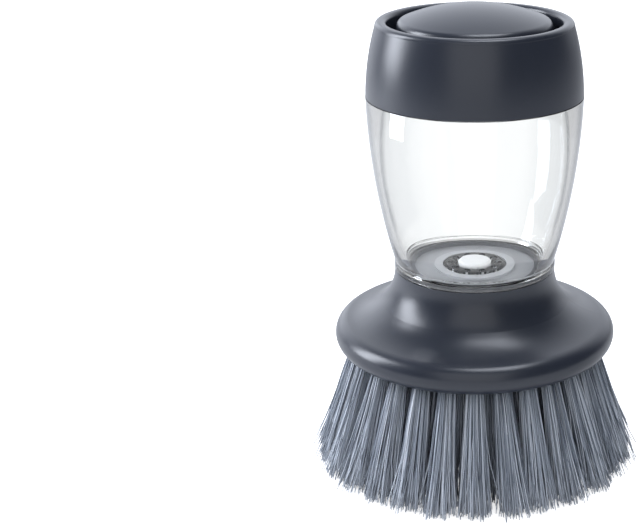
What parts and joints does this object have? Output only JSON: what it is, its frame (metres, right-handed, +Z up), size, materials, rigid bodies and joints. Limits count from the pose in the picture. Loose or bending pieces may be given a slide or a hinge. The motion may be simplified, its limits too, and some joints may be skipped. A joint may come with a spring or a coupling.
{
  "type": "dish wand",
  "caption": "Palm-held dish brush with a clear soap tank, a push-button air pump in its screw cap, and a flared head of nylon tufts.",
  "frame": {"origin": "on the axis of the wand, at the level of the bristle tips", "axes": "+Z up along the axis, from the bristle tips to the button; -Y towards the viewer of the picture"},
  "size_m": [0.0846, 0.0846, 0.1197],
  "materials": {
    "slate_plastic": "satin moulded, dark slate grey",
    "plate_plastic": "moulded, dark grey",
    "clear_plastic": "clear, polished mould",
    "floor_plastic": "moulded, mid grey",
    "retainer_plastic": "moulded, light grey",
    "ring_rubber": "moulded, dark grey",
    "white_silicone": "white silicone",
    "seal_rubber": "black rubber",
    "soft_spout": "translucent white silicone",
    "pump_plastic": "natural white, moulded",
    "spring_steel": "drawn wire",
    "bristle_nylon": "drawn nylon filament, grey",
    "anchor_brass": "flat rolled wire"
  },
  "bodies": {
    "head": {"head_shell": "slate_plastic", "bristle_plate": "plate_plastic", "soap_spout": "soft_spout", "tufts_outer": "bristle_nylon", "tufts_second": "bristle_nylon", "tufts_third": "bristle_nylon", "tufts_inner": "bristle_nylon", "anchors_outer": "anchor_brass", "anchors_second": "anchor_brass", "anchors_third": "anchor_brass", "anchors_inner": "anchor_brass"},
    "reservoir": {"reservoir": "clear_plastic", "base_plate": "floor_plastic", "base_seal": "seal_rubber", "floor_ring": "ring_rubber", "valve_seat": "clear_plastic", "seat_retainer": "retainer_plastic", "outlet_valve": "white_silicone", "head_seal": "seal_rubber"},
    "cap_gasket": {"cap_gasket": "seal_rubber"},
    "cap": {"cap_shell": "slate_plastic", "pump_cylinder": "pump_plastic", "stop_ring": "pump_plastic", "delivery_valve": "white_silicone", "return_spring": "spring_steel"},
    "plunger": {"push_button": "slate_plastic", "piston": "pump_plastic", "piston_seal": "seal_rubber", "intake_valve": "white_silicone"}
  },
  "joints": [
    {"name": "reservoir_twist", "type": "hinge", "parent": "head", "child": "reservoir", "pos_m": [0, 0, 0.052], "axis": [0, 0, 1], "range_deg": [0, 45]},
    {"name": "cap_lift", "type": "slide", "parent": "reservoir", "child": "cap_gasket", "axis": [0, 0, 1], "range_m": [0, 0.00375]},
    {"name": "cap_turn", "type": "hinge", "parent": "cap_gasket", "child": "cap", "pos_m": [0, 0, 0.101], "axis": [0, 0, 1], "range_deg": [0, 450]},
    {"name": "button_press", "type": "slide", "parent": "cap", "child": "plunger", "axis": [0, 0, -1], "range_m": [0, 0.005], "stiffness_N_per_m": 600, "springref_m": -0.006, "deforming": ["return_spring"]}
  ],
  "couplings": [
    {"joint": "cap_lift", "follows": "cap_turn", "m_per_rad": 0.00047746}
  ]
}
